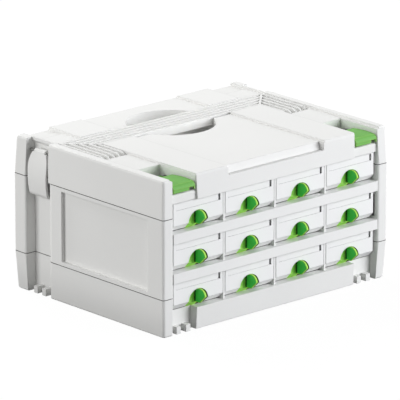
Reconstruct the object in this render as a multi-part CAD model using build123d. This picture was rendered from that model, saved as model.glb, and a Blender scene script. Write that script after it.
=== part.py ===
from build123d import *
import os
from math import hypot, sqrt

# Drawer organizer case: three moulded housings, three rack shelves, twelve drawers with grips,
# a folding handle and four latches. Millimetres, +Z up, the drawers open towards -Y.

# Case envelope
case_w = 396.0
case_d = 296.0
corner_r = 3.5
draft_in = 2.6
edge_soft = 1.6
base_h = 51.7
lid_h = 51.5
seam_gap = 0.8
seam_depth = 2.1
wall = 3.0
liner = 2.5

# Drawer bay and rack
rows = 3
columns = 4
side_wall = 18.0
row_clear = 39.5
shelf_h = 13.5
floor_z = 30.5
lid_block = 34.0
bay_margin = 1.4
column_r = 4.0
shelf_plate = 2.5
shelf_rib = 2.0
ribs_per_drawer = 3
divider_t = 2.6
divider_setback = 5.0
ledge_w = 1.8
ledge_h = 3.0
window_margin = 3.0
window_d = 18.0

# Base front, channels and stacking teeth
front_channel_w = 40.5
bar_foot = 1.0
bar_r = 2.5
front_recess = 13.5
channel_w = 44.0
channel_to_back = 24.0
channel_depth = 16.0
channel_r = 3.0
channel_soft_r = 9.0
foot_recess = 1.5
base_plate = 3.0
base_rib = 2.4
base_rib_pitch = 37.2
tooth_w = 7.4
tooth_gap = 9.0
tooth_h = 9.5
tooth_setback = 4.5
panel_to_front = 30.0
panel_to_channel = 28.0
panel_depth = 5.0
panel_edge = 5.4
panel_r = 1.0

# Lid
visor_step = 4.0
rim_step = 4.0
step_down = 3.0
center_half = 86.0
rear_notch_d = 33.0
rear_notch_drop = 5.2
notch_half = 84.0
notch_h = 13.0
notch_low = 9.0
notch_high = 13.5
pocket_back = 72.0
pocket_drop = 22.0
pocket_w = 40.0
ledge_r = 3.0
lid_rib = 3.0
lid_slot_w = 35.0
lid_skin = 4.0
wedge_in = 4.0

# Handle
limb_w = 39.0
bar_to_middle = 40.0
handle_t = 12.0
handle_drop = 0.7
handle_gap = 0.5
handle_side_gap = 1.0
swing_gap = 0.6
handle_ribs = 5
handle_rib_t = 3.0
groove_depth = 7.2
pivot_y = -2.0
pivot_below = 11.8
handle_pin_r = 3.0
handle_pin_seat = 2.6
running_gap = 0.06
bowl_r = 60.0
bowl_depth = 22.0
bowl_round = 9.0
bowl_wall = 4.0

# Latches
latch_len = 64.0
latch_half = 18.5
latch_end_half = 10.5
latch_tip_half = 17.4
latch_t = 3.0
latch_rise = 9.2
latch_crown = 2.0
latch_nose = 6.0
latch_fall = 2.0
latch_lip = 2.5
latch_lip_h = 4.0
latch_shoulder = 22.0
latch_flare = 3.5
barrel_r = 4.5
barrel_at = 4.0
latch_pin_r = 2.0
latch_pin_seat = 2.0
latch_set_in = 2.0
front_latch_z = 17.2
rear_latch_z = 12.5
rear_latch_flush = 0.5
slot_clear = 0.15
pin_travel = 54.0

# Drawers, grips and labels
drawer_gap = 3.4
drawer_setback = 4.5
drawer_rear_gap = 13.9
drawer_wall = 1.8
drawer_front = 2.4
drawer_chamfer = 9.0
drawer_under = 0.3
drawer_over = 0.6
side_drop = 1.8
front_edge_r = 1.5
grip_r = 17.0
grip_z = 7.0
grip_fit = 0.2
grip_depth = 9.4
dish_depth = 5.5
hollow_depth = 7.4
hollow_draft = 1.8
fin_t = 2.4
fin_reach = 10.0
fin_top = 23.6
fin_root_z = 21.5
fin_nose_z = 15.6
fin_foot_z = 5.2
fin_brow_r = 10.5
label_z0 = 29.2
label_h = 9.0
label_inset = 5.0
label_recess = 1.2
label_t = 1.0
label_fit = 0.2
label_slot_w = 3.0

# Values worked out from those above
bay_w = case_w - 2 * side_wall
case_h = floor_z + rows * row_clear + (rows - 1) * shelf_h + lid_block
lid_z = case_h - lid_h
lid_under = case_h - lid_block
front = -case_d / 2
back = case_d / 2
side = case_w / 2
bay_x = bay_w / 2
bar_half = bay_x - front_channel_w
channel_x = side - channel_depth
channel_y1 = back - channel_to_back
channel_y0 = channel_y1 - channel_w
channel_mid = (channel_y0 + channel_y1) / 2
front_wall_y = front + front_recess
rack_back = back - wall - draft_in
pitch = (bay_w - 2 * bay_margin) / columns
drawer_w = pitch - drawer_gap
drawer_y = front + drawer_setback
drawer_len = rack_back - drawer_y - drawer_rear_gap
drawer_top = row_clear - drawer_over
grip_nose_y = front - fin_reach
case_shift = fin_reach / 2
visor_half = bar_half
rim_in = bay_x + rim_step
pocket_out = bay_x
pocket_in = pocket_out - pocket_w
handle_out = bay_x
handle_in = handle_out - limb_w
handle_y0 = bar_to_middle
handle_y1 = handle_y0 + limb_w
handle_top = case_h - handle_drop
handle_low = handle_top - handle_t
pivot_z = handle_top - pivot_below
hinge_front_z = case_h - front_latch_z
hinge_front_y = front + latch_set_in + latch_len - barrel_at
hinge_rear_z = case_h - rear_latch_z - barrel_at
hinge_rear_x = side - rear_latch_flush - latch_rise
pocket_floor = case_h - pocket_drop


def block(x0, x1, y0, y1, z0, z1):
    """A box between two corners."""
    middle = Pos((x0 + x1) / 2, (y0 + y1) / 2, (z0 + z1) / 2)
    return middle * Box(x1 - x0, y1 - y0, z1 - z0)


def prism_x(outline, x0, x1):
    """An outline drawn in Y and Z, drawn out from x0 to x1."""
    return Pos(x0, 0, 0) * extrude(Plane.YZ * make_face(outline), amount=x1 - x0)


def rod_x(y, z, radius, x0, x1):
    """A round bar along X."""
    turned = Pos((x0 + x1) / 2, y, z) * Rot(0, 90, 0)
    return turned * Cylinder(radius, x1 - x0)


def rod_y(x, z, radius, y0, y1):
    """A round bar along Y."""
    turned = Pos(x, (y0 + y1) / 2, z) * Rot(90, 0, 0)
    return turned * Cylinder(radius, y1 - y0)


def both_sides(shape):
    """The shape and its mirror image on the other side of the case."""
    return shape + mirror(shape, Plane.YZ)


def closed_face(*curves):
    """A face inside curves that meet end to end."""
    edges = [edge for curve in curves for edge in curve.edges()]
    return make_face(Wire(edges))


def nearest(face, x, y):
    """The corner of a face that lies nearest to a point."""
    return min(face.vertices(), key=lambda v: (v.X - x) ** 2 + (v.Y - y) ** 2)


def side_outline(inset=0.0, front_edge_r=channel_r):
    """Half of the plan of the housings: side column, latch channel, rear column, back wall."""
    out = side - inset
    thin = inset / 3
    bay = bay_x + thin
    line = Polyline(
        (bay, front + inset),
        (out, front + inset),
        (out, channel_y0 - inset),
        (channel_x - thin, channel_y0 - inset),
        (channel_x - thin, channel_y1 + inset),
        (out, channel_y1 + inset),
        (out, back - inset),
        (0, back - inset),
        (0, rack_back),
        (bay, rack_back),
        close=True,
    )
    plan = make_face(line)
    plan = fillet(nearest(plan, bay_x, front), column_r - inset)
    for x, y in ((side, front), (side, back)):
        plan = fillet(nearest(plan, x, y), corner_r - inset)
    plan = fillet(nearest(plan, side, channel_y0), front_edge_r - inset)
    plan = fillet(nearest(plan, side, channel_y1), channel_r - inset)
    return plan


def ring(z0, z1, inset=0.0, front_edge_r=channel_r):
    """The plan of both sides and the back, from z0 to z1."""
    half = Pos(0, 0, z0) * extrude(side_outline(inset, front_edge_r), amount=z1 - z0)
    return both_sides(half)


def envelope(levels):
    """The tapered outer form, from (height, inset) pairs."""
    plans = []
    for z, inset in levels:
        plan = RectangleRounded(case_w - 2 * inset, case_d - 2 * inset, corner_r)
        plans.append(Pos(0, 0, z) * plan)
    return loft(plans, ruled=True)


def side_cavities(z0, z1, inner, panel_in):
    """The hollow of each side wall: in the front column, behind the panel, in the rear column."""
    skin = side - wall - draft_in
    panel_y0 = front + panel_to_front
    cut = block(inner, skin, front + wall + draft_in, panel_y0 - wall, z0, z1)
    cut += block(inner, panel_in, panel_y0 + wall / 2, channel_y0 - wall, z0, z1)
    cut += block(inner, skin, channel_y1 + wall, back - wall - draft_in, z0, z1)
    return both_sides(cut)


def stacking_teeth():
    """Pairs of teeth in the front and side channels, which grip the latches of a case below."""
    offset = (tooth_gap + tooth_w) / 2
    front_mid = (bar_half + bay_x) / 2
    teeth = Part()
    for shift in (-offset, offset):
        x = front_mid + shift
        y = channel_mid + shift
        half = tooth_w / 2
        teeth += block(x - half, x + half, front + tooth_setback, front_wall_y, 0, tooth_h)
        teeth += block(channel_x, side - tooth_setback, y - half, y + half, 0, tooth_h)
    return both_sides(teeth)


def base_housing():
    """Foot of the case: tray with ribs, blank front bar and the stacking teeth."""
    top = base_h - seam_gap / 2
    body = ring(0, top, front_edge_r=channel_soft_r)
    under = foot_recess
    body += block(-channel_x, channel_x, front_wall_y, rack_back, under, under + base_plate)
    body += block(-bay_x, bay_x, front_wall_y, front_wall_y + wall, 0, floor_z)
    bar = block(-bar_half, bar_half, front, front_wall_y + wall, bar_foot, floor_z)
    corners = bar.edges().filter_by(Axis.Z).sort_by(Axis.Y)[:2]
    body += fillet(corners, bar_r)
    bar_inside = bar_half - wall
    plate_top = under + base_plate
    body -= block(-bar_inside, bar_inside, front + wall + draft_in, front_wall_y + wall,
                  plate_top, floor_z - wall)
    shelf_under = floor_z - shelf_plate
    count = int(bay_x / base_rib_pitch)
    for i in range(-count, count + 1):
        x = i * base_rib_pitch
        start = front + wall if abs(x) < bar_inside - base_rib else front_wall_y
        stop = shelf_under if start == front_wall_y else floor_z - wall
        body += block(x - base_rib / 2, x + base_rib / 2, start, front_wall_y + wall,
                      plate_top - 1, stop)
        body += block(x - base_rib / 2, x + base_rib / 2, front_wall_y + wall / 2, rack_back + 1,
                      plate_top - 1, shelf_under)
    body += stacking_teeth()
    body -= side_cavities(plate_top, base_h, bay_x + liner, side - wall - draft_in)
    levels = ((0, draft_in + edge_soft), (edge_soft, draft_in), (base_h, 0))
    return body & envelope(levels)


def middle_housing():
    """Upright walls of the case, with tongues that enter the two seams."""
    low = base_h + seam_gap / 2
    high = lid_z - seam_gap / 2
    body = ring(low, high, front_edge_r=channel_soft_r)
    body += ring(base_h - seam_gap / 2, lid_z + seam_gap / 2, seam_depth, channel_soft_r)
    panel_z0 = base_h + panel_edge
    panel_z1 = lid_z - panel_edge
    panel_y0 = front + panel_to_front
    panel_y1 = channel_y0 - panel_to_channel
    panel = block(side - panel_depth, side + 1, panel_y0, panel_y1, panel_z0, panel_z1)
    panel = fillet(panel.edges().filter_by(Axis.X), panel_r)
    body -= both_sides(panel)
    body -= side_cavities(0, case_h, bay_x + liner, side - panel_depth - wall)
    for row in range(1, rows):
        z = floor_z + row * (row_clear + shelf_h) - shelf_h
        ledge = block(bay_x - ledge_w, bay_x, drawer_y + wall, rack_back, z - ledge_h, z)
        body += both_sides(ledge)
        if row > 1:
            start = front + wall + draft_in
            low = z - row_clear + window_margin
            window = block(bay_x - 1, bay_x + liner + 1, start, start + window_d,
                           low, z - ledge_h - window_margin)
            body -= both_sides(window)
    return body


def lid_slots():
    """Long hollows under the lid, between ribs that run from front to back."""
    cut = Part()
    step = lid_slot_w + lid_rib
    count = int((pocket_in - lid_rib) / step)
    low = lid_under - 1
    top_floor = case_h - step_down - lid_skin
    bar_floor = handle_low - handle_gap - lid_skin
    front_end = pivot_y - pivot_below
    bar_front = handle_y0 - handle_side_gap - lid_skin
    bar_rear = handle_y1 + handle_side_gap + lid_skin
    rear_end = rack_back - wall
    pad = bowl_r + bowl_wall
    bowl_y = (handle_y0 + handle_y1) / 2
    bowl_pad = block(-pad, pad, bowl_y - pad, bowl_y + pad, case_h - bowl_depth - bowl_wall, case_h)
    for i in range(-count, count + 1):
        x0 = i * step - lid_slot_w / 2
        x1 = i * step + lid_slot_w / 2
        cut += block(x0, x1, front + notch_high + wall, front_end, low, top_floor)
        cut += block(x0, x1, front_end + lid_rib, bar_front, low, top_floor)
        cut += block(x0, x1, bar_front + lid_rib, bar_rear, low, bar_floor)
        cut += block(x0, x1, bar_rear + lid_rib, rear_end, low, top_floor)
    x0 = pocket_in + lid_rib
    x1 = pocket_out - lid_rib
    pocket_y = front + pocket_back - lid_rib
    pivot_front = front_end - lid_rib
    pivot_floor = pivot_z - pivot_below - lid_skin
    side_cut = block(x0, x1, front + visor_step + wall, pocket_y, low, pocket_floor - lid_skin)
    side_cut += block(x0, x1, pocket_y + 2 * lid_rib, pivot_front, low, top_floor)
    side_cut += block(x0, x1, pivot_front + lid_rib, bar_rear, low, pivot_floor)
    side_cut += block(x0, x1, bar_rear + lid_rib, rear_end, low, top_floor)
    return cut - bowl_pad + both_sides(side_cut)


def handle_recess():
    """Channel of the folded handle, its two pivot pockets and the round finger bowl."""
    inner = handle_in - handle_side_gap
    outer = handle_out + handle_side_gap
    floor = handle_low - handle_gap
    y0 = handle_y0 - handle_side_gap
    y1 = handle_y1 + handle_side_gap
    over = case_h + 1
    reach = hypot(handle_y0 - pivot_y, pivot_z - handle_low)
    swing_y = pivot_y + sqrt(reach ** 2 - (case_h - pivot_z) ** 2) - swing_gap
    section = Polyline((y0, floor), (y1, floor), (y1, over), (swing_y, over), close=True)
    cut = prism_x(section, -outer, outer)
    end_r = pivot_below + handle_side_gap
    arm = block(inner, outer, pivot_y, y1, floor, over)
    arm += rod_x(pivot_y, pivot_z, end_r, inner, outer)
    arm += block(inner, outer, pivot_y - end_r, pivot_y, pivot_z, over)
    arm += rod_x(pivot_y, pivot_z, handle_pin_r, inner - handle_pin_seat, outer + handle_pin_seat)
    bowl_y = (handle_y0 + handle_y1) / 2
    bowl = Pos(0, bowl_y, case_h - bowl_depth) * extrude(Circle(bowl_r), amount=bowl_depth + 1)
    bowl = fillet(bowl.edges().group_by(Axis.Z)[0], bowl_round)
    return cut + both_sides(arm) + bowl


def latch_seats():
    """Front pockets with the slots that their pins slide in, and the bores of the rear pins."""
    over = case_h + 1
    back_y = front + pocket_back
    cut = block(pocket_in, pocket_out, front - 1, back_y, pocket_floor, over)
    half = latch_pin_r + slot_clear
    seat = latch_pin_seat + slot_clear
    slot = block(pocket_in - seat, pocket_out + seat, hinge_front_y - pin_travel - half,
                 hinge_front_y + half, hinge_front_z - half, hinge_front_z + half)
    cut += slot
    cut += rod_y(hinge_rear_x, hinge_rear_z, latch_pin_r, channel_y0 - latch_pin_seat,
                 channel_y1 + latch_pin_seat)
    return both_sides(cut)


def ledge_edge():
    """What the rounded front edge of the ledge under each front latch takes away."""
    y = front + visor_step
    z = pocket_floor
    corner = block(pocket_in, pocket_out, y - 1, y + ledge_r, z - ledge_r, z + 1)
    return corner - rod_x(y + ledge_r, z - ledge_r, ledge_r, pocket_in, pocket_out)


def lid_block_body():
    """The thick top between the side columns, with the visor over the drawers."""
    visor = block(-visor_half, visor_half, front, back - wall, lid_under, case_h)
    corners = visor.edges().filter_by(Axis.Z).sort_by(Axis.Y)[:2]
    body = fillet(corners, column_r)
    return body + block(-bay_x, bay_x, front + visor_step, back, lid_under, case_h)


def lid_steps():
    """What the raised bands of the lid stand above: lowered panels, rear notches, front notch."""
    over = case_h + 1
    top = case_h - step_down
    rear = case_h - rear_notch_drop
    y0 = front - 1
    y1 = back + 1
    cut = both_sides(block(visor_half, rim_in, y0, y1, top, over))
    cut += both_sides(block(visor_half, rim_in, back - rear_notch_d, y1, rear, over))
    cut += block(-center_half, center_half, y0, y1, top, over)
    notch_z = case_h - notch_h
    notch = Polyline(
        (y0, notch_z),
        (front + notch_low, notch_z),
        (front + notch_high, over),
        (y0, over),
        close=True,
    )
    return cut + prism_x(notch, -notch_half, notch_half)


def top_housing():
    """Lid of the case, with everything that the handle and the latches sit in."""
    body = ring(lid_z + seam_gap / 2, case_h) + lid_block_body()
    wedge = make_face(Polyline(
        (channel_x, case_h - 2 * wedge_in),
        (channel_x + wedge_in, case_h - wedge_in),
        (channel_x + wedge_in, case_h),
        (channel_x, case_h),
        close=True,
    ))
    wedge = Pos(0, channel_y1, 0) * extrude(Plane.XZ * wedge, amount=channel_y1 - channel_y0)
    body += both_sides(wedge)
    body -= lid_steps()
    body -= handle_recess()
    body -= latch_seats()
    body -= both_sides(ledge_edge())
    body -= lid_slots()
    hollow_top = case_h - step_down - 2 * wall
    body -= side_cavities(lid_z, hollow_top, rim_in + 1, side - wall - draft_in)
    levels = (
        (lid_z, 0),
        (case_h - 2 * edge_soft, draft_in - 0.2),
        (case_h - edge_soft / 2, draft_in + 0.4 * edge_soft),
        (case_h, draft_in + 1.4 * edge_soft),
    )
    return body & envelope(levels)


def dividers(floor):
    """Upright dividers between the drawers of one row."""
    walls = Part()
    for i in range(1, columns):
        x = -columns * pitch / 2 + i * pitch
        half = divider_t / 2
        walls += block(x - half, x + half, front + divider_setback, rack_back,
                       floor, floor + row_clear - drawer_under)
    return walls


def floor_shelf():
    """Floor of the lowest row, which lies on the ribs of the base."""
    plate = block(-bay_x, bay_x, front_wall_y + wall, rack_back, floor_z - shelf_plate, floor_z)
    return plate + dividers(floor_z)


def rack_shelf(row):
    """Shelf under one of the upper rows, with its front band and the ribs below the plate."""
    top = floor_z + row * (row_clear + shelf_h)
    low = top - shelf_h
    shelf = block(-bay_x, bay_x, front, rack_back, top - shelf_plate, top)
    band = block(-bay_x, bay_x, front, front + wall, low, top)
    shelf += band
    count = columns * ribs_per_drawer
    step = pitch / ribs_per_drawer
    for i in range(1, count):
        x = -columns * pitch / 2 + i * step
        shelf += block(x - shelf_rib / 2, x + shelf_rib / 2, front + wall / 2, rack_back,
                       low, top - shelf_plate / 2)
    return shelf + dividers(top)


def drawer():
    """One drawer, with its middle on x = 0 and the shelf at z = 0."""
    half = drawer_w / 2
    tail = drawer_y + drawer_len
    low = drawer_under
    side_top = drawer_top - side_drop
    outer = Polyline(
        (drawer_y, drawer_top),
        (drawer_y, low + drawer_chamfer),
        (drawer_y + drawer_chamfer, low),
        (tail, low),
        (tail, side_top),
        (drawer_y + 2 * drawer_front, side_top),
        (drawer_y + drawer_front, drawer_top),
        close=True,
    )
    body = prism_x(outer, -half, half)
    corners = body.edges().filter_by(Axis.Z).sort_by(Axis.Y)[:2]
    body = fillet(corners, front_edge_r)
    floor = low + drawer_wall
    inside = drawer_y + grip_depth + drawer_wall
    bulge_top = grip_z + grip_r + drawer_wall
    inner = Polyline(
        (drawer_y + drawer_front, drawer_top + 1),
        (drawer_y + drawer_front, bulge_top + drawer_wall),
        (inside, bulge_top - drawer_wall),
        (inside, floor),
        (tail - drawer_wall, floor),
        (tail - drawer_wall, drawer_top + 1),
        close=True,
    )
    body -= prism_x(inner, -half + drawer_wall, half - drawer_wall)
    body -= rod_y(0, grip_z, grip_r, drawer_y - 1, drawer_y + grip_depth)
    x0 = -half + label_inset
    x1 = half - label_inset
    z1 = label_z0 + label_h
    body -= block(x0, x1, drawer_y - 1, drawer_y + label_recess, label_z0, z1)
    body -= block(x1 - label_slot_w, x1, drawer_y - 1, drawer_y + 2 * drawer_front, label_z0, z1)
    return body


def fin():
    """Finger fin that stands upright in the middle of the grip."""
    root = drawer_y + dish_depth + fin_t / 2
    nose = grip_nose_y
    run = fin_nose_z - fin_foot_z
    over = Line((root, fin_root_z), (drawer_y, fin_top))
    brow = RadiusArc((drawer_y, fin_top), (nose, fin_nose_z), -fin_brow_r)
    under = Polyline((nose, fin_nose_z), (nose + run, fin_foot_z), (root, fin_foot_z), (root, fin_root_z))
    face = closed_face(over, brow, under)
    return Pos(-fin_t / 2, 0, 0) * extrude(Plane.YZ * face, amount=fin_t)


def grip():
    """Round-topped plug in the drawer front: a dish and a deep finger hollow, with the fin between."""
    radius = grip_r - grip_fit
    rear = drawer_y + grip_depth - grip_fit
    low = drawer_under
    side_view = Polyline(
        (drawer_y, grip_z + grip_r + 1),
        (drawer_y, low + drawer_chamfer),
        (drawer_y + drawer_chamfer, low),
        (rear, low),
        (rear, grip_z + grip_r + 1),
        close=True,
    )
    plug = prism_x(side_view, -grip_r - 1, grip_r + 1)
    plug &= rod_y(0, grip_z, radius, drawer_y, rear)
    half = fin_t / 2
    reach = 2 * grip_r
    dish_r = (grip_r ** 2 + dish_depth ** 2) / (2 * dish_depth)
    scoop = Pos(0, drawer_y + dish_depth - dish_r, 0) * Cylinder(dish_r, 4 * grip_r)
    scoop &= block(-reach, half, drawer_y - reach, drawer_y + reach, -reach, reach)
    depth = hollow_depth + 1
    taper = Cone(radius - hollow_draft + grip_fit, radius + 1.5 * grip_fit, depth)
    hollow = Pos(0, drawer_y - 1 + depth / 2, grip_z) * Rot(90, 0, 0) * taper
    hollow &= block(half, reach, drawer_y - reach, drawer_y + reach, -reach, reach)
    return plug - scoop - hollow + fin()


def label():
    """Blank label strip that slides into the drawer front."""
    half = drawer_w / 2 - label_inset
    x0 = -half + label_fit
    x1 = half - label_slot_w - label_fit
    z0 = label_z0 + label_fit
    z1 = label_z0 + label_h - label_fit
    y1 = drawer_y + label_recess
    return block(x0, x1, y1 - label_t, y1, z0, z1)


def latch():
    """Latch with its hinge axis on the origin: length along +X, outer face towards +Z."""
    tip = latch_len - barrel_at
    crown = tip / 2 + latch_crown
    bend = tip - latch_nose
    rise = latch_rise
    fall = rise - latch_fall
    t = latch_t
    low = -latch_lip
    lip = low + latch_lip_h
    outer = ThreePointArc((0, barrel_r), (crown, rise), (bend, fall))
    nose = TangentArc((bend, fall), (tip, lip), tangent=outer % 1)
    end = Polyline((tip, lip), (tip, low), (tip - t, low), (tip - t, lip))
    inner = ThreePointArc((0, barrel_r - t), (crown, rise - t), (bend - t / 4, fall - t))
    nose_in = TangentArc((bend - t / 4, fall - t), (tip - t, lip), tangent=inner % 1)
    close = Line((0, barrel_r - t), (0, barrel_r))
    side_view = closed_face(outer, nose, end, nose_in, inner, close)
    body = extrude(Plane.XZ * side_view, amount=latch_half, both=True)
    shoulder = latch_shoulder - barrel_at
    middle = (latch_flare, latch_half - latch_flare)
    back_end = (-barrel_r, latch_end_half)
    plan = closed_face(
        Polyline((-barrel_r, 0), back_end, (-barrel_at, latch_end_half)),
        ThreePointArc((-barrel_at, latch_end_half), middle, (shoulder, latch_half)),
        Polyline((shoulder, latch_half), (tip, latch_tip_half), (tip, 0), (-barrel_r, 0)),
    )
    plan += mirror(plan, Plane.XZ)
    body &= Pos(0, 0, -barrel_r) * extrude(plan, amount=barrel_r + rise)
    body += rod_y(0, 0, barrel_r, -latch_end_half, latch_end_half)
    return body - rod_y(0, 0, latch_pin_r + running_gap, -latch_half, latch_half)


def front_latch():
    """Right front latch, lying in its pocket with its wide end to the front."""
    x = (pocket_in + pocket_out) / 2
    return Pos(x, hinge_front_y, hinge_front_z) * Rot(0, 0, -90) * latch()


def rear_latch():
    """Right rear latch, hanging in its channel."""
    return Pos(hinge_rear_x, channel_mid, hinge_rear_z) * Rot(0, 90, 0) * latch()


def front_latch_pin():
    """Sliding hinge pin of the right front latch."""
    reach = latch_pin_seat
    return rod_x(hinge_front_y, hinge_front_z, latch_pin_r, pocket_in - reach, pocket_out + reach)


def rear_latch_pin():
    """Fixed hinge pin of the right rear latch."""
    reach = latch_pin_seat
    return rod_y(hinge_rear_x, hinge_rear_z, latch_pin_r, channel_y0 - reach, channel_y1 + reach)


def handle():
    """Folding carrying handle: a flat U of ribbed limbs with a web across each corner."""
    width = handle_out - handle_in
    depth = handle_y1 - handle_y0
    body = block(-handle_out, handle_out, handle_y0, handle_y1, handle_low, handle_top)
    arm = block(handle_in, handle_out, pivot_y, handle_y1, handle_low, handle_top)
    arm += rod_x(pivot_y, pivot_z, pivot_below, handle_in, handle_out)
    body += both_sides(arm)
    floor = handle_top - groove_depth
    offset = handle_in - handle_y0
    web = handle_rib_t * sqrt(0.5)
    bar_step = (depth - handle_rib_t) / (handle_ribs - 1)
    arm_step = (width - handle_rib_t) / (handle_ribs - 1)
    front_end = pivot_y - pivot_below - 1
    for i in range(handle_ribs - 1):
        y0 = handle_y0 + handle_rib_t + i * bar_step
        y1 = handle_y0 + (i + 1) * bar_step
        x0 = y0 + offset - web
        x1 = y1 + offset - web
        strip = make_face(Polyline((-x0, y0), (x0, y0), (x1, y1), (-x1, y1), close=True))
        body -= Pos(0, 0, floor) * extrude(strip, amount=groove_depth + 1)
        x0 = handle_in + handle_rib_t + i * arm_step
        x1 = handle_in + (i + 1) * arm_step
        y0 = x0 - offset - web
        y1 = x1 - offset - web
        strip = make_face(Polyline((x0, front_end), (x1, front_end), (x1, y1), (x0, y0), close=True))
        body -= both_sides(Pos(0, 0, floor) * extrude(strip, amount=groove_depth + 1))
    bore = rod_x(pivot_y, pivot_z, handle_pin_r + running_gap, handle_in - 1, handle_out + 1)
    return body - both_sides(bore)


def handle_pins():
    """The two pins that the handle turns on."""
    reach = handle_side_gap + handle_pin_seat
    pin = rod_x(pivot_y, pivot_z, handle_pin_r, handle_in - reach, handle_out + reach)
    return both_sides(pin)


def save(shape, name):
    """Write one node, moved so that the whole case is centred with its grips."""
    export_step(Pos(0, case_shift, 0) * shape, os.path.join("parts", name + ".step"))


os.makedirs("parts", exist_ok=True)

save(base_housing(), "base_housing")
save(middle_housing(), "middle_housing")
save(top_housing(), "top_housing")
save(floor_shelf(), "floor_shelf")
save(rack_shelf(1), "lower_shelf")
save(rack_shelf(2), "upper_shelf")
save(handle(), "handle")
save(handle_pins(), "handle_pins")

pairs = (
    (front_latch(), "front_latch"),
    (front_latch_pin(), "front_latch_pin"),
    (rear_latch(), "rear_latch"),
    (rear_latch_pin(), "rear_latch_pin"),
)
for piece, name in pairs:
    save(piece, name + "_right")
    save(mirror(piece, Plane.YZ), name + "_left")

one_drawer = drawer()
one_grip = grip()
one_label = label()
for row in range(rows):
    for column in range(columns):
        x = (column - (columns - 1) / 2) * pitch
        place = Pos(x, 0, floor_z + row * (row_clear + shelf_h))
        tag = "r" + str(rows - row) + "c" + str(column + 1)
        save(place * one_drawer, "drawer_" + tag)
        save(place * one_grip, "grip_" + tag)
        save(place * one_label, "label_" + tag)
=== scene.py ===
import bmesh
import bpy
from cmath import phase, rect
from math import radians
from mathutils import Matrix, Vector


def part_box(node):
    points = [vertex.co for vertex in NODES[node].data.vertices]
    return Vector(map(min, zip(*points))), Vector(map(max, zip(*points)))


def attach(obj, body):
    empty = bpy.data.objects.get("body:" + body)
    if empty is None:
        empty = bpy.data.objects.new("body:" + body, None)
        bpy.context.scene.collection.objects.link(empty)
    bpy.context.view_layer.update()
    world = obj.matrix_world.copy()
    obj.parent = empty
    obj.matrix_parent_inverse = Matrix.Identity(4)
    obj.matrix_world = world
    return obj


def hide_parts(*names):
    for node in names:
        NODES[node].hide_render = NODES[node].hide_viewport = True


bl_info = {
    "name": "Drawer Organizer Case",
    "version": (1, 0, 0),
    "blender": (4, 5, 0),
    "location": "3D View > Sidebar > Organizer",
    "description": "Moulded finishes, latch ribs and a studio for a drawer organizer case",
    "category": "Object",
}

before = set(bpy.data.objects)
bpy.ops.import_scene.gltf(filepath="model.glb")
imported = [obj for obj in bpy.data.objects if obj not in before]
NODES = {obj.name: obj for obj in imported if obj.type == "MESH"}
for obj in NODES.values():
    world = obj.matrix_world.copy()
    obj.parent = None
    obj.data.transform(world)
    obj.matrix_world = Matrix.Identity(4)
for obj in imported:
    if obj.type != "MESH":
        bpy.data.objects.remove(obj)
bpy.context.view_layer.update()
SIDES = ("left", "right")

# Front latch seen from the side, in metres from the hinge axis towards the tip and up.
# Each arc runs over three points, and the steps are those of neck, back and nose.
BARREL = 0.0029
BARREL_TURNS = (10, 35, 60, 85, 110, 130)
LATCH_TIP = 0.060
LATCH_BELOW_HINGE = 0.0045
LATCH_NECK = ((0.0025, 0.0014), (0.009, 0.0041), (0.0155, 0.0067))
LATCH_NECK_INNER = ((0.0025, -0.0015), (0.009, 0.0010), (0.0155, 0.0037))
LATCH_OUTER = ((0.0155, 0.0067), (0.038, 0.0084), (0.054, 0.0079))
LATCH_NOSE = ((0.054, 0.0079), (0.05826, 0.00587), (0.060, 0.0015))
LATCH_INNER = ((0.0155, 0.0037), (0.038, 0.0054), (0.05325, 0.0049))
LATCH_NOSE_INNER = ((0.05325, 0.0049), (0.05596, 0.00387), (0.057, 0.0015))
LATCH_LIP_END = -0.0025
ARC_STEPS = (8, 20, 12)

# Front latch seen from above: half its width over the distance from the hinge axis
LATCH_SHOULDER = ((-0.004, 0.0105), (0.0035, 0.015), (0.018, 0.0185))
SHOULDER_STEPS = 24
LATCH_TIP_HALF = 0.0183
LATCH_OUTWARD = 0.0004

# Notch in the lip and columns of the shell, as shares of the half width, and the notch's height
NOTCH = (0.47, 0.487, 0.918, 0.9344)
NOTCH_TOP = 0.0012
LATCH_COLUMNS = (-1.0, -0.5, 0.0, *NOTCH, 1.0)
SHARP_ANGLE = 35

# Middle line of each latch rib: behind the tip of the latch, above its lower edge
RIB_PLACES = ((0.0042, 0.0118), (0.0005, 0.0064), (0.0005, 0.0027))
# Share of the rib length, and how far the rib's middle lies to the left
RIB_SHARES = ((1.0, 0.0), (0.74, 0.0045), (0.74, 0.0045))
# Points along a rib, points round it, and the share of its radius that is left at its ends
RIB_POINTS = 25
RIB_SIDES = 16
RIB_END = 0.25

# Where each painted shade or painted highlight mask starts and where it is full: sideways part of
# the normal, then openness
SIDE_SHADE_RANGE = (0.8, 0.95)
EDGE_HIGHLIGHT_RANGE = (0.95, 0.55)
HOLLOW_SHADE_RANGE = (0.3, 0.15)
RIM_SHADE_RANGE = (0.95, 0.6)

# Plastic: noise values that the drift of tone runs between, sheen below and above the roughness,
# and the level of the highlight
DRIFT_RANGE = (0.3, 0.7)
SHEEN_BELOW = 0.04
SHEEN_ABOVE = 0.05
GLOSS = 0.05

# Floor: half its width, its height, its grey, its glow, and the share of the glow that is seen
FLOOR_HALF = 12.0
FLOOR_LEVEL = -0.0005
FLOOR_GREY = (0.18, 0.18, 0.18, 1.0)
FLOOR_GLOW = 1.28
GLOW_SHARE = 0.75
WHITE = (1.0, 1.0, 1.0, 1.0)

# Soft lights: name, place, width, the setting with the power, and colour
LIGHT_TARGET = (0.0, 0.005, 0.1)
SOFT_LIGHTS = (
    ("Top light", (0.1, 2.2, 1.9), 2.2, "top_power", (1.0, 1.0, 1.0)),
    ("Right front light", (2.0, -2.8, 0.8), 3.0, "front_power", (0.96, 0.97, 1.0)),
    ("Left rear light", (-2.9, 1.0, 1.0), 2.0, "side_power", (1.0, 1.0, 1.0)),
)

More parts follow.
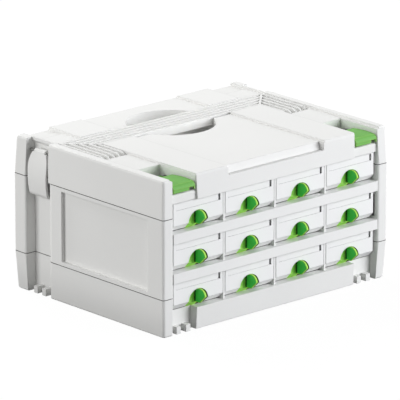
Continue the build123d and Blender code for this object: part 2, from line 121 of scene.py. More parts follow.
CAMERA_PLACE = (-4.43625, -4.93074, 2.12907)
CAMERA_TARGET = (-0.002249, 0.005, 0.113851)
CAMERA_LENS = 473.34
CAMERA_SENSOR = 36.0
CAMERA_CLIP = (0.1, 60.0)

# Colour sockets of a Mix node
MIX_COLOR_A = 6
MIX_COLOR_B = 7
MIX_COLOR_RESULT = 2


# Sizes and colours that a user would change

class PlasticSettings(bpy.types.PropertyGroup):
    """Colours and surface of the moulded plastics, and the colours of the painted shade and painted
    highlights on the green parts.
    """

    case_color: bpy.props.FloatVectorProperty(
        name="Case", description="Colour of the housings, handle and rear latches",
        subtype="COLOR", size=4, min=0.0, max=1.0, default=(0.80, 0.80, 0.785, 1.0))
    rack_color: bpy.props.FloatVectorProperty(
        name="Rack", description="Colour of the shelves and dividers",
        subtype="COLOR", size=4, min=0.0, max=1.0, default=(0.82, 0.82, 0.81, 1.0))
    drawer_color: bpy.props.FloatVectorProperty(
        name="Drawers", description="Colour of the drawer trays",
        subtype="COLOR", size=4, min=0.0, max=1.0, default=(0.85, 0.85, 0.845, 1.0))
    label_color: bpy.props.FloatVectorProperty(
        name="Labels", description="Colour of the blank label strips",
        subtype="COLOR", size=4, min=0.0, max=1.0, default=(0.84, 0.84, 0.835, 1.0))
    grip_color: bpy.props.FloatVectorProperty(
        name="Grips", description="Colour of the drawer grips",
        subtype="COLOR", size=4, min=0.0, max=1.0, default=(0.36, 0.80, 0.13, 1.0))
    # Painted highlight: lighter green along the thin edges of the grips
    grip_edge_highlight_color: bpy.props.FloatVectorProperty(
        name="Grip edges", description="Lighter green along the thin edges of the grips",
        subtype="COLOR", size=4, min=0.0, max=1.0, default=(0.60, 0.88, 0.12, 1.0))
    # Painted shade: deeper green on the upright sides of the fins
    grip_fin_shade_color: bpy.props.FloatVectorProperty(
        name="Grip fins", description="Deeper green on both sides of the fins",
        subtype="COLOR", size=4, min=0.0, max=1.0, default=(0.10, 0.80, 0.13, 1.0))
    latch_color: bpy.props.FloatVectorProperty(
        name="Front latches", description="Colour of the sliding front latches",
        subtype="COLOR", size=4, min=0.0, max=1.0, default=(0.19, 0.47, 0.115, 1.0))
    # Painted highlight: lighter green along the edges and ribs of the front latches
    latch_edge_highlight_color: bpy.props.FloatVectorProperty(
        name="Latch edges",
        description="Lighter green along the edges and ribs of the front latches",
        subtype="COLOR", size=4, min=0.0, max=1.0, default=(0.34, 0.57, 0.14, 1.0))
    # Painted shade: dark green deep in the hollows of grips and latches
    hollow_shade_color: bpy.props.FloatVectorProperty(
        name="Hollows", description="Dark green deep in the hollows of grips and latches",
        subtype="COLOR", size=4, min=0.0, max=1.0, default=(0.01, 0.04, 0.015, 1.0))
    pin_color: bpy.props.FloatVectorProperty(
        name="Pins", description="Colour of the hinge pins",
        subtype="COLOR", size=4, min=0.0, max=1.0, default=(0.22, 0.22, 0.21, 1.0))
    edge_radius: bpy.props.FloatProperty(
        name="Edge radius", description="Radius of the moulded edges",
        unit="LENGTH", min=0.0, default=0.0007)


class RibSettings(bpy.types.PropertyGroup):
    """Grip ribs across the nose of each front latch."""

    length: bpy.props.FloatProperty(
        name="Rib length", description="Length of a rib across the latch",
        unit="LENGTH", min=0.0, default=0.034)
    radius: bpy.props.FloatProperty(
        name="Rib radius", description="Radius of a rib's rounded back",
        unit="LENGTH", min=0.0, default=0.0009)
    fade: bpy.props.FloatProperty(
        name="Rib fade", description="Length over which each end of a rib runs out",
        unit="LENGTH", min=0.0001, default=0.003)


class StudioSettings(bpy.types.PropertyGroup):
    """Light levels of the studio."""

    top_power: bpy.props.FloatProperty(
        name="Top light", description="Power of the soft light above the back",
        unit="POWER", min=0.0, default=72.0)
    front_power: bpy.props.FloatProperty(
        name="Right front light", description="Power of the soft light at the right front",
        unit="POWER", min=0.0, default=190.0)
    side_power: bpy.props.FloatProperty(
        name="Left rear light", description="Power of the soft light at the left rear",
        unit="POWER", min=0.0, default=58.0)
    room_level: bpy.props.FloatProperty(
        name="Room level", description="Brightness of the room round the object",
        min=0.0, default=0.26)


# Node tree helpers

def feed(tree, socket, value):
    """Links an input to a socket, or sets it to a value."""
    if isinstance(value, bpy.types.NodeSocket):
        tree.links.new(value, socket)
    else:
        socket.default_value = value


def add_node(tree, kind, x, y, *sources, **values):
    """A node of a tree: attributes and inputs fed by name, its first inputs also fed in order."""
    node = tree.nodes.new(kind)
    node.location = (x, y)
    for name, value in values.items():
        if hasattr(node, name):
            setattr(node, name, value)
        else:
            feed(tree, node.inputs[name.replace("_", " ")], value)
    for socket, source in zip(node.inputs, sources):
        feed(tree, socket, source)
    return node


def math_node(tree, operation, x, y, *terms, **values):
    """The result of a Math node."""
    return add_node(tree, "ShaderNodeMath", x, y, *terms, operation=operation, **values).outputs[0]


def spread(tree, x, y, value, low=0.0, high=1.0, to_low=0.0, to_high=1.0, **values):
    """The result of a Map Range node, which turns low to high into to_low to to_high."""
    node = add_node(tree, "ShaderNodeMapRange", x, y, value, low, high, to_low, to_high, **values)
    return node.outputs["Result"]


def parts_of(tree, kind, y):
    """The X, Y and Z of the Object coordinates or of the Normal."""
    place = add_node(tree, "ShaderNodeTexCoord", -900, y)
    return add_node(tree, "ShaderNodeSeparateXYZ", -700, y, place.outputs[kind]).outputs


def openness(tree, x, y, reach, samples=16, inside=False):
    """1 where nothing lies within reach, less in corners, or on thin edges if seen from inside."""
    node = add_node(tree, "ShaderNodeAmbientOcclusion", x, y, samples=samples, only_local=True,
                    inside=inside, Distance=reach)
    return node.outputs["AO"]


def new_group(name, inputs, outputs):
    """A shader group with named values and results, and the sockets inside it for both."""
    group = bpy.data.node_groups.new(name, "ShaderNodeTree")
    for label, value in inputs.items():
        kind = "NodeSocketColor" if isinstance(value, tuple) else "NodeSocketFloat"
        socket = group.interface.new_socket(label, in_out="INPUT", socket_type=kind)
        socket.default_value = value
    for label, kind in outputs.items():
        group.interface.new_socket(label, in_out="OUTPUT", socket_type=kind)
    given = add_node(group, "NodeGroupInput", -1100, 0).outputs
    result = add_node(group, "NodeGroupOutput", 900, 0).inputs
    return group, given, result


# Node groups that materials and pieces share

def soft_edge_group(name):
    """Normal of edges that are slightly rounded, as a mould leaves them."""
    group, given, result = new_group(name, {"Radius": 0.0008}, {"Normal": "NodeSocketVector"})
    edge = add_node(group, "ShaderNodeBevel", -300, 0, samples=8, Radius=given["Radius"])
    feed(group, result["Normal"], edge.outputs["Normal"])
    return group


def painted_tones_group(name):
    """Painted shade and highlight on green plastic: a shaded tone on upright sides, a lighter tone
    on thin edges, a dark tone in deep hollows.
    """
    inputs = {
        "Reach": 0.012, "Edge Width": 0.001, "Color": (0.1, 0.5, 0.1, 1.0),
        "Side": (0.1, 0.4, 0.1, 1.0), "Edge": (0.3, 0.6, 0.2, 1.0), "Hollow": (0.0, 0.1, 0.0, 1.0),
    }
    group, given, result = new_group(name, inputs, {"Color": "NodeSocketColor"})
    sideways = math_node(group, "ABSOLUTE", -550, -500, parts_of(group, "Normal", -500)["X"])
    hollow = openness(group, -700, 0, given["Reach"])
    edge = openness(group, -700, -250, given["Edge Width"], inside=True)
    steps = (
        ("Side", sideways, SIDE_SHADE_RANGE),
        ("Edge", edge, EDGE_HIGHLIGHT_RANGE),
        ("Hollow", hollow, HOLLOW_SHADE_RANGE),
    )
    color = given["Color"]
    for i, (label, mask, limits) in enumerate(steps):
        share = spread(group, -400, 200 - 250 * i, mask, *limits)
        mix = add_node(group, "ShaderNodeMix", -150 + 200 * i, 100, share, data_type="RGBA")
        feed(group, mix.inputs[MIX_COLOR_A], color)
        feed(group, mix.inputs[MIX_COLOR_B], given[label])
        color = mix.outputs[MIX_COLOR_RESULT]
    feed(group, result["Color"], color)
    return group


def seam_shade_group(name):
    """Painted shade: a mask that darkens both housing seams, the foot's side walls towards the
    bottom and the rims of upward faces; 1 elsewhere.
    """
    inputs = {
        "Lower Seam": 0.0517, "Upper Seam": 0.1585, "Half Gap": 0.00045, "Shade": 0.12,
        "Foot Height": 0.045, "Foot Shade": 0.86, "Edge Width": 0.001, "Edge Shade": 0.82,
    }
    group, given, result = new_group(name, inputs, {"Open": "NodeSocketFloat"})
    height = parts_of(group, "Object", -300)["Z"]
    facing = parts_of(group, "Normal", -550)
    near = [math_node(group, "COMPARE", -450, 0, height, given[label], given["Half Gap"])
            for label in ("Lower Seam", "Upper Seam")]
    either = math_node(group, "ADD", -200, 0, *near)
    seams = spread(group, 100, 0, either, to_low=1.0, to_high=given["Shade"])
    foot = spread(group, 100, -300, height, high=given["Foot Height"], to_low=given["Foot Shade"],
                  interpolation_type="SMOOTHSTEP")
    sideways = math_node(group, "ABSOLUTE", 100, -550, facing["X"])
    walls = add_node(group, "ShaderNodeMix", 300, -300, Factor=sideways, A=1.0, B=foot)
    both = math_node(group, "MULTIPLY", 500, 0, seams, walls.outputs["Result"])
    edge = openness(group, -100, -750, given["Edge Width"], inside=True)
    line = spread(group, 100, -750, edge, *RIM_SHADE_RANGE)
    upward = math_node(group, "MULTIPLY", 300, -750, line, facing["Z"], use_clamp=True)
    rims = spread(group, 500, -750, upward, to_low=1.0, to_high=given["Edge Shade"])
    feed(group, result["Open"], math_node(group, "MULTIPLY", 700, 0, both, rims))
    return group


def contact_line_group(name):
    """Mask of the shadow line under the drawers, repeated from row to row: 1 elsewhere."""
    inputs = {"First": 0.0308, "Row Pitch": 0.053, "Height": 0.0012, "Shade": 0.2}
    group, given, result = new_group(name, inputs, {"Open": "NodeSocketFloat"})
    up = math_node(group, "SUBTRACT", -600, 0, parts_of(group, "Object", -300)["Z"], given["First"])
    row = math_node(group, "FLOORED_MODULO", -400, 0, up, given["Row Pitch"])
    above = math_node(group, "GREATER_THAN", -200, 0, row, given["Height"])
    feed(group, result["Open"], spread(group, 100, 0, above, to_low=given["Shade"]))
    return group


def fin_shade_group(name):
    """Painted shade in the hollow right of each grip's fin, repeated over the columns: 1 elsewhere.
    """
    inputs = {"Column Pitch": 0.0893, "Fin Side": 0.0013, "Shade": 0.12}
    group, given, result = new_group(name, inputs, {"Open": "NodeSocketFloat"})
    pitch = given["Column Pitch"]
    across = math_node(group, "FLOORED_MODULO", -600, 0, parts_of(group, "Object", 0)["X"], pitch)
    fin_side = math_node(group, "MULTIPLY_ADD", -600, -250, pitch, 0.5, given["Fin Side"])
    right = math_node(group, "LESS_THAN", -400, 0, across, fin_side)
    feed(group, result["Open"], spread(group, -100, 0, right, to_low=given["Shade"]))
    return group


def crevice_group(name):
    """Painted shade in narrow grooves and inner corners: 1 in the open, falling to Shade in a
    crevice.
    """
    inputs = {"Reach": 0.002, "Closed": 0.3, "Open": 0.6, "Shade": 0.3}
    group, given, result = new_group(name, inputs, {"Open": "NodeSocketFloat"})
    near = openness(group, -600, 0, given["Reach"], samples=12)
    shade = spread(group, -200, 0, near, given["Closed"], given["Open"], given["Shade"])
    feed(group, result["Open"], shade)
    return group


def mould_grain_group(name):
    """Fine spark-eroded grain and slow drift of tone, from Object coordinates."""
    inputs = {
        "Grain Scale": 900.0, "Drift Scale": 6.0, "Color": (0.8, 0.8, 0.8, 1.0), "Drift": 0.03,
    }
    outputs = {
        "Color": "NodeSocketColor", "Height": "NodeSocketFloat",
        "Roughness Drift": "NodeSocketFloat",
    }
    group, given, result = new_group(name, inputs, outputs)
    place = add_node(group, "ShaderNodeTexCoord", -900, -300).outputs["Object"]
    grain = add_node(group, "ShaderNodeTexNoise", -600, 0, Vector=place, Scale=given["Grain Scale"],
                     Detail=2.0, Roughness=0.55)
    drift = add_node(group, "ShaderNodeTexNoise", -600, -300, Vector=place,
                     Scale=given["Drift Scale"], Detail=3.0, Roughness=0.5)
    uneven = spread(group, -350, -300, drift.outputs["Fac"], *DRIFT_RANGE)
    dim = math_node(group, "MULTIPLY", -150, -200, uneven, given["Drift"])
    keep = math_node(group, "SUBTRACT", 50, -200, 1.0, dim)
    tone = add_node(group, "ShaderNodeVectorMath", 250, 100, operation="SCALE",
                    Vector=given["Color"], Scale=keep)
    feed(group, result["Color"], tone.outputs[0])
    feed(group, result["Height"], grain.outputs["Fac"])
    feed(group, result["Roughness Drift"], uneven)
    return group


def rib_tree(name):
    """Geometry nodes: a rounded rib that runs out at both ends, on each point of a mesh."""
    tree = bpy.data.node_groups.new(name, "GeometryNodeTree")
    face = tree.interface
    face.new_socket("Geometry", in_out="INPUT", socket_type="NodeSocketGeometry")
    for label, value in (("Length", 0.034), ("Radius", 0.0009), ("Fade", 0.003)):
        socket = face.new_socket(label, in_out="INPUT", socket_type="NodeSocketFloat")
        socket.subtype = "DISTANCE"
        socket.default_value = value
    face.new_socket("Material", in_out="INPUT", socket_type="NodeSocketMaterial")
    face.new_socket("Geometry", in_out="OUTPUT", socket_type="NodeSocketGeometry")
    given = add_node(tree, "NodeGroupInput", -1200, 0).outputs
    length = given["Length"]
    line = add_node(tree, "GeometryNodeCurvePrimitiveLine", -900, 200, mode="DIRECTION",
                    Direction=(1.0, 0.0, 0.0), Length=length)
    even = add_node(tree, "GeometryNodeResampleCurve", -700, 200, Curve=line.outputs["Curve"],
                    Count=RIB_POINTS)
    along = add_node(tree, "GeometryNodeSplineParameter", -1100, -200).outputs["Length"]
    left = math_node(tree, "SUBTRACT", -900, -300, length, along)
    to_end = math_node(tree, "MINIMUM", -700, -200, along, left)
    run_out = spread(tree, -500, -200, to_end, high=given["Fade"], to_low=RIB_END,
                     interpolation_type="SMOOTHSTEP")
    thin = add_node(tree, "GeometryNodeSetCurveRadius", -300, 200, Curve=even.outputs["Curve"],
                    Radius=run_out)
    ring = add_node(tree, "GeometryNodeCurvePrimitiveCircle", -300, -100, Resolution=RIB_SIDES,
                    Radius=given["Radius"])
    rib = add_node(tree, "GeometryNodeCurveToMesh", 0, 200, Curve=thin.outputs["Curve"],
                   Profile_Curve=ring.outputs["Curve"], Fill_Caps=True)
    offset = add_node(tree, "ShaderNodeCombineXYZ", 50, 0,
                      X=math_node(tree, "MULTIPLY", -100, 0, length, -0.5))
    centred = add_node(tree, "GeometryNodeTransform", 200, 200, Geometry=rib.outputs["Mesh"],
                       Translation=offset.outputs[0])
    share = add_node(tree, "GeometryNodeInputNamedAttribute", 50, -200, data_type="FLOAT",
                     Name="share")
    stretch = add_node(tree, "ShaderNodeCombineXYZ", 200, -200, X=share.outputs["Attribute"],
                       Y=1.0, Z=1.0)
    copies = add_node(tree, "GeometryNodeInstanceOnPoints", 400, 100, Points=given["Geometry"],
                      Instance=centred.outputs["Geometry"], Scale=stretch.outputs[0])
    real = add_node(tree, "GeometryNodeRealizeInstances", 600, 100,
                    Geometry=copies.outputs["Instances"])
    finish = add_node(tree, "GeometryNodeSetMaterial", 800, 100, Geometry=real.outputs["Geometry"],
                      Material=given["Material"])
    add_node(tree, "NodeGroupOutput", 1000, 0, Geometry=finish.outputs["Geometry"])
    return tree


GROUPS = {
    "Soft edge": soft_edge_group,
    "Depth tint": painted_tones_group,
    "Seam shade": seam_shade_group,
    "Contact line": contact_line_group,
    "Beside fin": fin_shade_group,
    "Crevice": crevice_group,
    "Mould grain": mould_grain_group,
    "Latch ribs": rib_tree,
}


def shared(name):
    """The node group of this name, built when it is first asked for."""
    return bpy.data.node_groups.get(name) or GROUPS[name](name)


# Materials

def moulded_plastic(name, color, roughness, edge_radius, grain_depth=0.00003, drift=0.03):
    """Injection-moulded plastic: tone drift, spark grain and an uneven satin sheen."""
    material = bpy.data.materials.new(name)
    material.use_nodes = True
    tree = material.node_tree
    grain = add_node(tree, "ShaderNodeGroup", -700, 0, name="Grain",
                     node_tree=shared("Mould grain"), Drift=drift, Color=color)
    edge = add_node(tree, "ShaderNodeGroup", -700, -500, node_tree=shared("Soft edge"),
                    Radius=edge_radius)
    sheen = spread(tree, -400, -150, grain.outputs["Roughness Drift"],
                   to_low=roughness - SHEEN_BELOW, to_high=roughness + SHEEN_ABOVE)
    bump = add_node(tree, "ShaderNodeBump", -400, -400, Distance=grain_depth,
                    Height=grain.outputs["Height"], Normal=edge.outputs["Normal"])
    shader = tree.nodes["Principled BSDF"].inputs
    feed(tree, shader["Base Color"], grain.outputs["Color"])
    feed(tree, shader["Roughness"], sheen)
    feed(tree, shader["Normal"], bump.outputs["Normal"])
    feed(tree, shader["Specular IOR Level"], GLOSS)
    material.diffuse_color = color
    return material


def shaded(material, group, **values):
    """Multiplies a material's colour by the painted shade mask of a shared group."""
    tree = material.node_tree
    base = tree.nodes["Principled BSDF"].inputs["Base Color"]
    mask = add_node(tree, "ShaderNodeGroup", -700, 250, node_tree=shared(group), **values)
    tone = add_node(tree, "ShaderNodeVectorMath", -300, 200, operation="SCALE",
                    Vector=base.links[0].from_socket, Scale=mask.outputs["Open"])
    feed(tree, base, tone.outputs[0])
    return material


def green_plastic(name, color, side, edge, hollow, edge_radius, reach):
    """Moulded green plastic, with painted shade in its hollows, on its upright sides and in its
    inner corners, and painted highlights along its open edges.
    """
    material = moulded_plastic(name, color, roughness=0.35, edge_radius=edge_radius, drift=0.06)
    tree = material.node_tree
    # Painted shade and painted highlight tones in place of the plain colour
    tint = add_node(tree, "ShaderNodeGroup", -1000, 200, node_tree=shared("Depth tint"),
                    Reach=reach, Color=color, Side=side, Edge=edge, Hollow=hollow)
    feed(tree, tree.nodes["Grain"].inputs["Color"], tint.outputs["Color"])
    # Painted shade at the inner corners, such as the root of each fin
    return shaded(material, "Crevice", Reach=0.005, Closed=0.6, Open=0.68, Shade=0.12)


def paint(names, material):
    """Gives CAD nodes one material."""
    for name in names:
        mesh = NODES[name].data
        mesh.materials.clear()
        mesh.materials.append(material)


def of_kind(*starts):
    """The names of the CAD nodes that begin with one of these words."""
    return [name for name in NODES if name.startswith(starts)]


# Shapes of the front latches

def link(thing):
    """Puts a new object in the scene."""
    bpy.context.scene.collection.objects.link(thing)
    return thing


def arc_through(points, count):
    """Points of the arc over three points, which is shorter than half a turn."""
    a, b, c = (complex(*point) for point in points)
    side, span = b - a, c - a
    cross = 2 * (side.real * span.imag - side.imag * span.real)
    middle = a - 1j * (abs(side) ** 2 * span - abs(span) ** 2 * side) / cross
    turn = phase((c - middle) / (a - middle))
    dots = [middle + (a - middle) * rect(1, turn * i / count) for i in range(count + 1)]
    return [(dot.real, dot.imag) for dot in dots]


def latch_edge(up, *arcs):
    """Upper or lower edge of the latch's side view, from the barrel to the end of the lip."""
    barrel = [rect(BARREL, radians(180 - turn)) for turn in BARREL_TURNS]
    neck, *others = [arc_through(arc, steps) for arc, steps in zip(arcs, ARC_STEPS)]
    edge = [(dot.real, up * dot.imag) for dot in barrel] + neck
    for points in others:
        edge += points[1:]
    return edge + [(edge[-1][0], LATCH_LIP_END)]


def latch_half_width(along, shoulder):
    """Half width of a front latch at a distance from its hinge axis."""
    last, last_half = shoulder[-1]
    if along >= last:
        share = (along - last) / (LATCH_TIP - last)
        return last_half + (LATCH_TIP_HALF - last_half) * share
    for (x0, w0), (x1, w1) in zip(shoulder, shoulder[1:]):
        if along < x1:
            return w0 + (w1 - w0) * max(0.0, (along - x0) / (x1 - x0))


def latch_shell(node, side, material):
    """A front latch: low curved plate, rounded nose, lip with a notch, and hinge barrel."""
    low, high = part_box(node)
    outward = -LATCH_OUTWARD if side == "left" else LATCH_OUTWARD
    middle = (low[0] + high[0]) / 2 + outward
    hinge_y, hinge_z = low[1] + LATCH_TIP, low[2] + LATCH_BELOW_HINGE
    upper = latch_edge(1, LATCH_NECK, LATCH_OUTER, LATCH_NOSE)
    under = latch_edge(-1, LATCH_NECK_INNER, LATCH_INNER, LATCH_NOSE_INNER)
    outline = upper + under[::-1]
    shoulder = arc_through(LATCH_SHOULDER, SHOULDER_STEPS)
    lip_start = LATCH_NOSE_INNER[0][0]
    mesh = bmesh.new()
    rings = []
    for share in LATCH_COLUMNS:
        in_notch = NOTCH[0] < share < NOTCH[-1]
        ring = []
        for along, up in outline:
            if in_notch and along > lip_start:
                up = max(up, NOTCH_TOP)
            across = share * latch_half_width(along, shoulder)
            ring.append(mesh.verts.new((middle + across, hinge_y - along, hinge_z + up)))
        rings.append(ring)
    count = len(outline)
    for ring, other in zip(rings, rings[1:]):
        for i in range(count):
            j = (i + 1) % count
            mesh.faces.new((ring[i], ring[j], other[j], other[i]))
    for ring in (rings[0], rings[-1]):
        for i in range(len(upper) - 1):
            mesh.faces.new((ring[i], ring[i + 1], ring[count - 2 - i], ring[count - 1 - i]))
    bmesh.ops.recalc_face_normals(mesh, faces=mesh.faces[:])
    data = bpy.data.meshes.new(node + "_shell")
    mesh.to_mesh(data)
    mesh.free()
    data.shade_smooth()
    data.set_sharp_from_angle(angle=radians(SHARP_ANGLE))
    data.materials.append(material)
    return link(bpy.data.objects.new(node + "_shell", data))


def baked(name, mesh, tree, values):
    """A plain mesh object with the result of a Geometry Nodes tree on a mesh."""
    source = link(bpy.data.objects.new(name + "_source", mesh))
    modifier = source.modifiers.new("Nodes", "NODES")
    modifier.node_group = tree
    for socket in tree.interface.items_tree:
        if socket.in_out == "INPUT" and socket.name in values:
            modifier[socket.identifier] = values[socket.name]
    done = source.evaluated_get(bpy.context.evaluated_depsgraph_get())
    result = bpy.data.meshes.new_from_object(done)
    bpy.data.objects.remove(source)
    piece = link(bpy.data.objects.new(name, result))
    result.name = name
    return piece


def latch_ribs(node, material, sizes):
    """Three low ribs across the rounded nose of a front latch."""
    low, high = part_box(node)
    middle = (low[0] + high[0]) / 2
    mesh = bpy.data.meshes.new(node + "_rib_points")
    places = [(middle - aside, low[1] + set_back, low[2] + height)
              for (set_back, height), (share, aside) in zip(RIB_PLACES, RIB_SHARES)]
    mesh.from_pydata(places, [], [])
    scale = mesh.attributes.new("share", "FLOAT", "POINT")
    scale.data.foreach_set("value", [share for share, aside in RIB_SHARES])
    values = {"Length": sizes.length, "Radius": sizes.radius, "Fade": sizes.fade,
              "Material": material}
    return baked(node + "_ribs", mesh, shared("Latch ribs"), values)


# Studio

def aim(thing, place, target):
    """Moves a light or camera to a place and turns it towards a target."""
    thing.location = place
    thing.rotation_euler = (Vector(target) - Vector(place)).to_track_quat("-Z", "Y").to_euler()


def build_floor():
    """A wide white floor, seen as plain white away from the object's shadow."""
    mesh = bpy.data.meshes.new("studio_floor")
    corners = [(x * FLOOR_HALF, y * FLOOR_HALF, FLOOR_LEVEL)
               for x, y in ((-1, -1), (1, -1), (1, 1), (-1, 1))]
    mesh.from_pydata(corners, [], [(0, 1, 2, 3)])
    floor = link(bpy.data.objects.new("studio_floor", mesh))
    material = bpy.data.materials.new("Studio white")
    material.use_nodes = True
    tree = material.node_tree
    tree.nodes.clear()
    seen = add_node(tree, "ShaderNodeLightPath", -600, 200).outputs
    direct = math_node(tree, "MAXIMUM", -400, 200, seen["Is Camera Ray"], seen["Is Glossy Ray"])
    either = math_node(tree, "MAXIMUM", -200, 200, direct, seen["Is Transmission Ray"])
    share = math_node(tree, "MULTIPLY", 0, 200, either, GLOW_SHARE)
    diffuse = add_node(tree, "ShaderNodeBsdfDiffuse", -200, 0, Color=FLOOR_GREY)
    glow = add_node(tree, "ShaderNodeEmission", -200, -200, Color=WHITE, Strength=FLOOR_GLOW)
    mix = add_node(tree, "ShaderNodeMixShader", 300, 0, share, diffuse.outputs[0], glow.outputs[0])
    add_node(tree, "ShaderNodeOutputMaterial", 600, 0, Surface=mix.outputs[0])
    mesh.materials.append(material)


def softbox(name, place, size, power, color):
    """A square area light that points at the object."""
    data = bpy.data.lights.new(name, "AREA")
    data.size = size
    data.energy = power
    data.color = color
    aim(link(bpy.data.objects.new(name, data)), place, LIGHT_TARGET)


def build_world(level):
    """An even grey room, seen as plain white behind the object."""
    world = bpy.data.worlds.new("Studio room")
    bpy.context.scene.world = world
    world.use_nodes = True
    tree = world.node_tree
    tree.nodes.clear()
    seen = add_node(tree, "ShaderNodeLightPath", -400, 300).outputs["Is Camera Ray"]
    room = add_node(tree, "ShaderNodeBackground", 0, 100, Color=WHITE, Strength=level)
    white = add_node(tree, "ShaderNodeBackground", 0, -100, Color=WHITE, Strength=1.0)
    mix = add_node(tree, "ShaderNodeMixShader", 200, 0, seen, room.outputs[0], white.outputs[0])
    add_node(tree, "ShaderNodeOutputWorld", 400, 0, Surface=mix.outputs[0])


def build_camera():
    """The long lens that looks at the left front corner from a little above."""
    data = bpy.data.cameras.new("Photo camera")
    data.sensor_width = CAMERA_SENSOR
    data.lens = CAMERA_LENS
    data.clip_start, data.clip_end = CAMERA_CLIP
    camera = link(bpy.data.objects.new("Photo camera", data))
    aim(camera, CAMERA_PLACE, CAMERA_TARGET)
    bpy.context.scene.camera = camera


# Operators, one for each piece or group of like pieces, and one for the studio

class ORGANIZER_OT_housings(bpy.types.Operator):
    """Finish the base, middle and top housings"""

    bl_idname = "organizer.housings"
    bl_label = "Housings"

    def execute(self, context):
        look = context.scene.organizer_plastic
        names = of_kind("base_housing", "middle_housing", "top_housing")
        grey = moulded_plastic("Housing grey", look.case_color, roughness=0.55,
                               edge_radius=look.edge_radius)
        # Painted shade in the housing seams, on the foot's side walls towards the bottom and along
        # upward rims
        paint(names, shaded(grey, "Seam shade"))
        return {"FINISHED"}


class ORGANIZER_OT_rack(bpy.types.Operator):
    """Finish the shelves and dividers of the drawer rack"""

    bl_idname = "organizer.rack"
    bl_label = "Rack"

    def execute(self, context):
        look = context.scene.organizer_plastic
        names = of_kind("floor_shelf", "lower_shelf", "upper_shelf")
        paint(names, moulded_plastic("Rack grey", look.rack_color, roughness=0.28,
                                     edge_radius=look.edge_radius, grain_depth=0.00001))
        return {"FINISHED"}


class ORGANIZER_OT_drawers(bpy.types.Operator):
    """Finish the drawer trays and their blank label strips"""

    bl_idname = "organizer.drawers"
    bl_label = "Drawers"

    def execute(self, context):
        look = context.scene.organizer_plastic
        radius = look.edge_radius / 2
        grey = moulded_plastic("Drawer grey", look.drawer_color, roughness=0.38, edge_radius=radius)
        # Painted shade along the label lines, in the label slots and in inner corners, and a
        # painted shadow line under each drawer
        shaded(grey, "Crevice", Reach=0.0015, Closed=0.4, Open=0.75, Shade=0.15)
        shaded(grey, "Crevice", Reach=0.005, Closed=0.55, Open=0.7, Shade=0.1)
        paint(of_kind("drawer_"), shaded(grey, "Contact line"))
        paint(of_kind("label_"), moulded_plastic("Blank label", look.label_color, roughness=0.55,
                                                 edge_radius=radius, drift=0.01))
        return {"FINISHED"}


class ORGANIZER_OT_grips(bpy.types.Operator):
    """Finish the green drawer grips"""

    bl_idname = "organizer.grips"
    bl_label = "Grips"

    def execute(self, context):
        look = context.scene.organizer_plastic
        # Painted shade in hollows, on fin sides and at fin roots, and painted highlights along thin
        # edges
        green = green_plastic("Grip green", look.grip_color, side=look.grip_fin_shade_color,
                              edge=look.grip_edge_highlight_color, hollow=look.hollow_shade_color,
                              edge_radius=look.edge_radius / 2, reach=0.012)
        # Painted shade in the hollow right of each fin
        paint(of_kind("grip_"), shaded(green, "Beside fin"))
        return {"FINISHED"}


class ORGANIZER_OT_handle(bpy.types.Operator):
    """Finish the folding handle and its pins"""

    bl_idname = "organizer.handle"
    bl_label = "Handle"

    def execute(self, context):
        look = context.scene.organizer_plastic
        paint(["handle", "handle_pins"],
              moulded_plastic("Handle grey", look.case_color, roughness=0.42,
                              edge_radius=look.edge_radius))
        return {"FINISHED"}


class ORGANIZER_OT_latches(bpy.types.Operator):
    """Finish the latches and their pins, and build the shell and ribs of each front latch"""

    bl_idname = "organizer.latches"
    bl_label = "Latches"

    def execute(self, context):
        look = context.scene.organizer_plastic
        # Painted highlights along the latch edges and ribs, and painted shade in its hollows and
        # corners
        green = green_plastic("Latch green", look.latch_color, side=look.latch_color,
                              edge=look.latch_edge_highlight_color, hollow=look.hollow_shade_color,
                              edge_radius=look.edge_radius, reach=0.006)
        paint(["front_latch_left", "front_latch_right"], green)
        paint(["rear_latch_left", "rear_latch_right"],
              moulded_plastic("Latch grey", look.case_color, roughness=0.42,
                              edge_radius=look.edge_radius))
        paint(of_kind("front_latch_pin", "rear_latch_pin"),
              moulded_plastic("Pin grey", look.pin_color, roughness=0.35,
                              edge_radius=look.edge_radius))
        for side in SIDES:
            node = "front_latch_" + side
            shell = latch_shell(node, side, green)
            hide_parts(node)
            ribs = latch_ribs(node, green, context.scene.organizer_ribs)
            for piece in (shell, ribs):
                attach(piece, node)
        return {"FINISHED"}


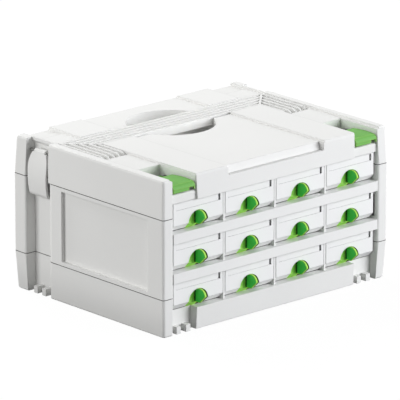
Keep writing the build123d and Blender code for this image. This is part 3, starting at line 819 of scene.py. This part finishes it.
class ORGANIZER_OT_stage(bpy.types.Operator):
    """Build the floor, the soft studio lights and the camera"""

    bl_idname = "organizer.stage"
    bl_label = "Studio"

    def execute(self, context):
        level = context.scene.organizer_studio
        build_floor()
        for name, place, size, power, color in SOFT_LIGHTS:
            softbox(name, place, size, getattr(level, power), color)
        build_world(level.room_level)
        build_camera()
        return {"FINISHED"}


class ORGANIZER_PT_panel(bpy.types.Panel):
    """Lists the settings, the pieces and the studio in the sidebar."""

    bl_label = "Drawer Organizer Case"
    bl_idname = "ORGANIZER_PT_panel"
    bl_space_type = "VIEW_3D"
    bl_region_type = "UI"
    bl_category = "Organizer"

    def draw(self, context):
        scene = context.scene
        for group in (scene.organizer_plastic, scene.organizer_ribs, scene.organizer_studio):
            for name in group.bl_rna.properties.keys():
                if name not in ("rna_type", "name"):
                    self.layout.prop(group, name)
        for operator in OPERATORS:
            self.layout.operator(operator.bl_idname)


SETTINGS = (PlasticSettings, RibSettings, StudioSettings)
OPERATORS = (
    ORGANIZER_OT_housings,
    ORGANIZER_OT_rack,
    ORGANIZER_OT_drawers,
    ORGANIZER_OT_grips,
    ORGANIZER_OT_handle,
    ORGANIZER_OT_latches,
    ORGANIZER_OT_stage,
)
CLASSES = SETTINGS + OPERATORS + (ORGANIZER_PT_panel,)


def register():
    """Adds the classes and the scene's settings."""
    for item in CLASSES:
        bpy.utils.register_class(item)
    bpy.types.Scene.organizer_plastic = bpy.props.PointerProperty(type=PlasticSettings)
    bpy.types.Scene.organizer_ribs = bpy.props.PointerProperty(type=RibSettings)
    bpy.types.Scene.organizer_studio = bpy.props.PointerProperty(type=StudioSettings)


def unregister():
    """Removes what register added."""
    del bpy.types.Scene.organizer_studio
    del bpy.types.Scene.organizer_ribs
    del bpy.types.Scene.organizer_plastic
    for item in reversed(CLASSES):
        bpy.utils.unregister_class(item)


def main():
    """Builds the whole scene."""
    register()
    bpy.context.scene.view_settings.view_transform = "Standard"
    for operator in OPERATORS:
        group, name = operator.bl_idname.split(".")
        getattr(getattr(bpy.ops, group), name)()
    bpy.context.view_layer.update()


if __name__ == "__main__":
    main()
